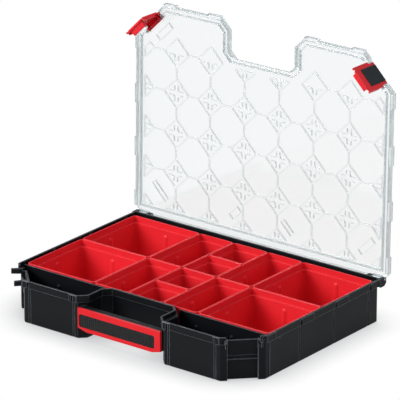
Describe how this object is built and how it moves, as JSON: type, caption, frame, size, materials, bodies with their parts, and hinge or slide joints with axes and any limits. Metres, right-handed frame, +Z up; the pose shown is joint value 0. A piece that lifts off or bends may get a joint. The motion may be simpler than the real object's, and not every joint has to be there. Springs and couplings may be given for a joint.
{
  "type": "screw organizer box",
  "caption": "Shallow organizer box with cut front corners, clear hinged lid, corner latches, front handle and lift-out bins on a square grid.",
  "frame": {"origin": "centre of the tray's outline, on the flat underside it rests on", "axes": "+X to the right along the width, +Y to the hinge at the rear, +Z up; the lid stands open in the rest pose"},
  "size_m": [0.3984, 0.293, 0.3404],
  "materials": {
    "tray_black": "fine moulded grain",
    "handle_red": "satin moulded",
    "grip_rubber": "soft, ribbed",
    "bin_red": "satin moulded",
    "lid_clear": "clear moulded plastic",
    "pin_steel": "turned",
    "latch_red": "satin moulded",
    "latch_rubber": "soft"
  },
  "bodies": {
    "tray": {"base_tray": "tray_black", "handle_frame": "handle_red", "handle_grip_pad": "grip_rubber", "hinge_pin_left": "pin_steel", "hinge_pin_right": "pin_steel"},
    "lid": {"lid": "lid_clear", "latch_pin_left": "pin_steel", "latch_pin_right": "pin_steel"},
    "latch_left": {"latch_left": "latch_red", "latch_pad_left": "latch_rubber"},
    "latch_right": {"latch_right": "latch_red", "latch_pad_right": "latch_rubber"},
    "bin_large_1": {"bin_large_1": "bin_red"},
    "bin_medium_1": {"bin_medium_1": "bin_red"},
    "bin_small_1": {"bin_small_1": "bin_red"},
    "bin_small_2": {"bin_small_2": "bin_red"},
    "bin_medium_2": {"bin_medium_2": "bin_red"},
    "bin_large_2": {"bin_large_2": "bin_red"},
    "bin_large_3": {"bin_large_3": "bin_red"},
    "bin_medium_3": {"bin_medium_3": "bin_red"},
    "bin_small_3": {"bin_small_3": "bin_red"},
    "bin_small_4": {"bin_small_4": "bin_red"},
    "bin_medium_4": {"bin_medium_4": "bin_red"},
    "bin_large_4": {"bin_large_4": "bin_red"}
  },
  "joints": [
    {"name": "lid_hinge", "type": "hinge", "parent": "tray", "child": "lid", "pos_m": [0, 0.1423, 0.0544], "axis": [-1, 0, 0], "range_deg": [-91, 0]},
    {"name": "latch_left_hinge", "type": "hinge", "parent": "lid", "child": "latch_left", "pos_m": [-0.1701, 0.14947, 0.31071], "axis": [-0.7071, -0.0123, -0.707], "range_deg": [0, 110]},
    {"name": "latch_right_hinge", "type": "hinge", "parent": "lid", "child": "latch_right", "pos_m": [0.1701, 0.14947, 0.31071], "axis": [-0.7071, 0.0123, 0.707], "range_deg": [0, 110]},
    {"name": "bin_large_1_lift", "type": "slide", "parent": "tray", "child": "bin_large_1", "axis": [0, 0, 1], "range_m": [0, 0.07]},
    {"name": "bin_medium_1_lift", "type": "slide", "parent": "tray", "child": "bin_medium_1", "axis": [0, 0, 1], "range_m": [0, 0.07]},
    {"name": "bin_small_1_lift", "type": "slide", "parent": "tray", "child": "bin_small_1", "axis": [0, 0, 1], "range_m": [0, 0.07]},
    {"name": "bin_small_2_lift", "type": "slide", "parent": "tray", "child": "bin_small_2", "axis": [0, 0, 1], "range_m": [0, 0.07]},
    {"name": "bin_medium_2_lift", "type": "slide", "parent": "tray", "child": "bin_medium_2", "axis": [0, 0, 1], "range_m": [0, 0.07]},
    {"name": "bin_large_2_lift", "type": "slide", "parent": "tray", "child": "bin_large_2", "axis": [0, 0, 1], "range_m": [0, 0.07]},
    {"name": "bin_large_3_lift", "type": "slide", "parent": "tray", "child": "bin_large_3", "axis": [0, 0, 1], "range_m": [0, 0.07]},
    {"name": "bin_medium_3_lift", "type": "slide", "parent": "tray", "child": "bin_medium_3", "axis": [0, 0, 1], "range_m": [0, 0.07]},
    {"name": "bin_small_3_lift", "type": "slide", "parent": "tray", "child": "bin_small_3", "axis": [0, 0, 1], "range_m": [0, 0.07]},
    {"name": "bin_small_4_lift", "type": "slide", "parent": "tray", "child": "bin_small_4", "axis": [0, 0, 1], "range_m": [0, 0.07]},
    {"name": "bin_medium_4_lift", "type": "slide", "parent": "tray", "child": "bin_medium_4", "axis": [0, 0, 1], "range_m": [0, 0.07]},
    {"name": "bin_large_4_lift", "type": "slide", "parent": "tray", "child": "bin_large_4", "axis": [0, 0, 1], "range_m": [0, 0.07]}
  ]
}
